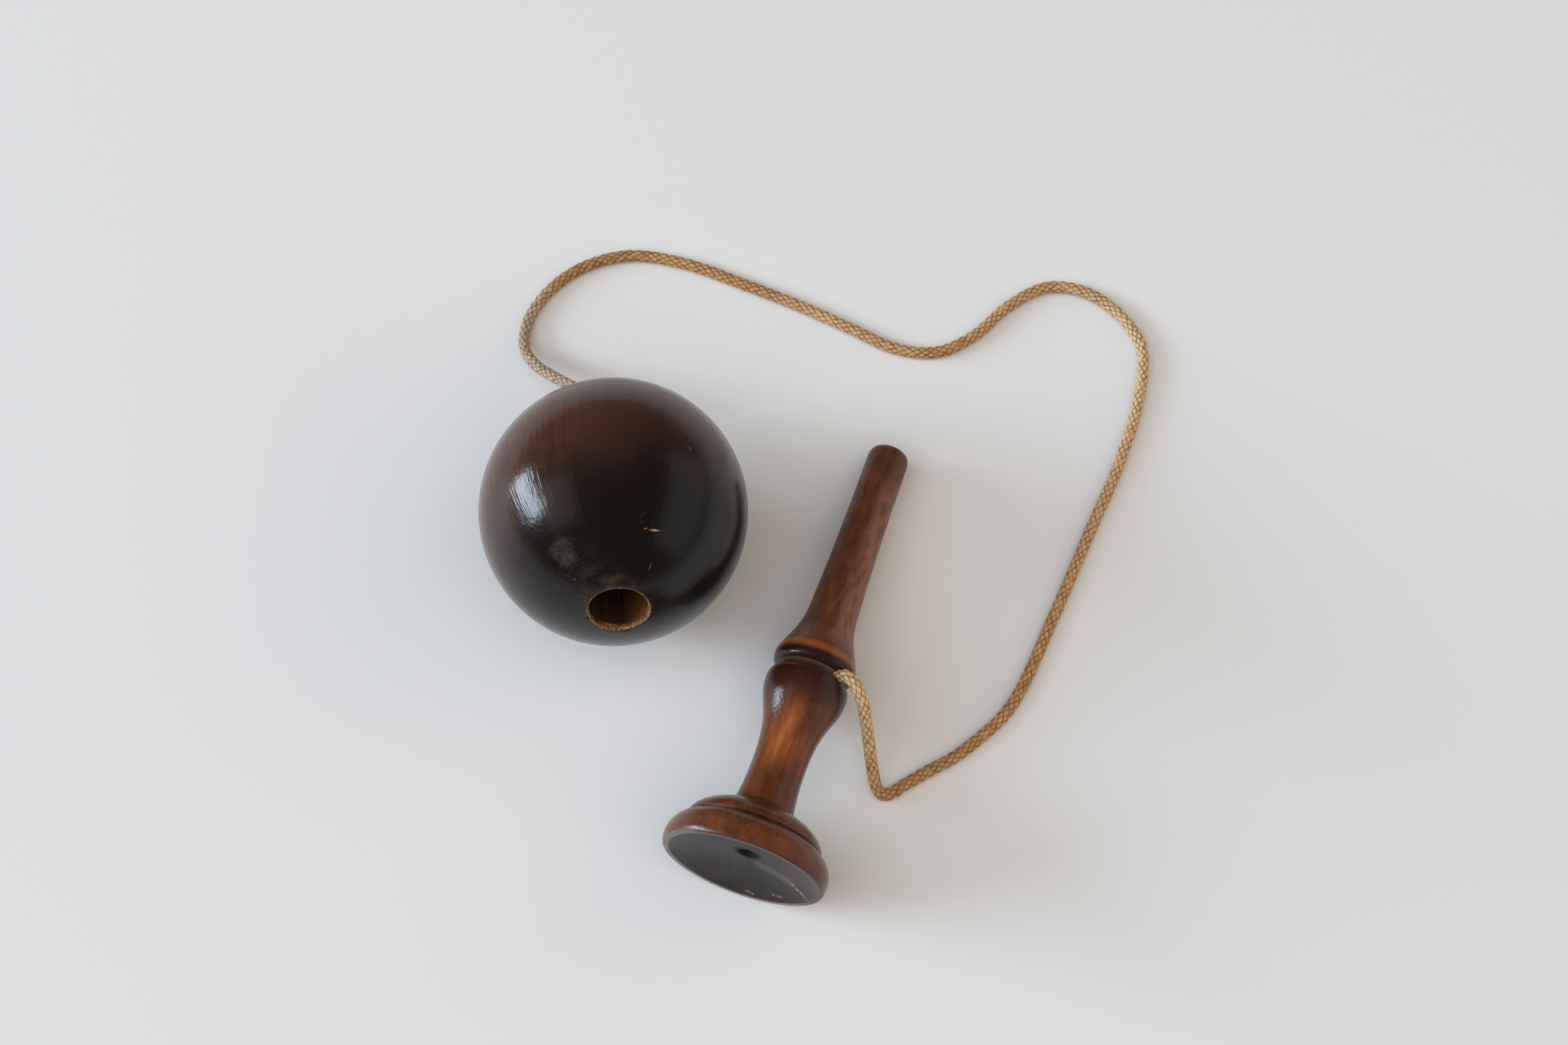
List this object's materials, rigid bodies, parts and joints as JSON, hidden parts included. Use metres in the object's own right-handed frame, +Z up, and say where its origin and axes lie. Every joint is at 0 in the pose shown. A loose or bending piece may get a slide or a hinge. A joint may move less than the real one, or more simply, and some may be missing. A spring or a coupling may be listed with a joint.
{
  "type": "cup and ball toy",
  "caption": "Cup and ball toy: a turned handle with a shallow cup and a long peg, and a drilled ball tied to it by a braided cord, to be caught on the peg or in the cup.",
  "frame": {"origin": "on the table under the middle of the box round the handle and the ball, without the cord", "axes": "+Z up from the table that the toy lies on, +Y along the handle from the cup to the peg, +X from the ball to the handle"},
  "size_m": [0.1755, 0.1974, 0.07],
  "materials": {
    "handle_varnish": "red-brown varnish, worn to orange on the stem and the bulb",
    "ball_varnish": "near-black brown gloss varnish, chipped and scuffed",
    "braided_cord": "waxed cotton braid"
  },
  "bodies": {
    "handle": {"handle": "handle_varnish", "cord_in_handle": "braided_cord", "cord": "braided_cord"},
    "cord_end": {"cord_in_ball": "braided_cord", "ball_knot": "braided_cord"},
    "ball": {"ball": "ball_varnish"}
  },
  "joints": [
    {"name": "ball_swing", "type": "hinge", "parent": "handle", "child": "cord_end", "pos_m": [0.04422, -0.00607, 0.02061], "axis": [0, 0, 1], "range_deg": [-42, 46], "deforming": ["cord"]},
    {"name": "ball_spin", "type": "hinge", "parent": "cord_end", "child": "ball", "pos_m": [-0.0239, 0.01363, 0.035], "axis": [0.3744, -0.8409, 0.3907], "continuous": true}
  ]
}
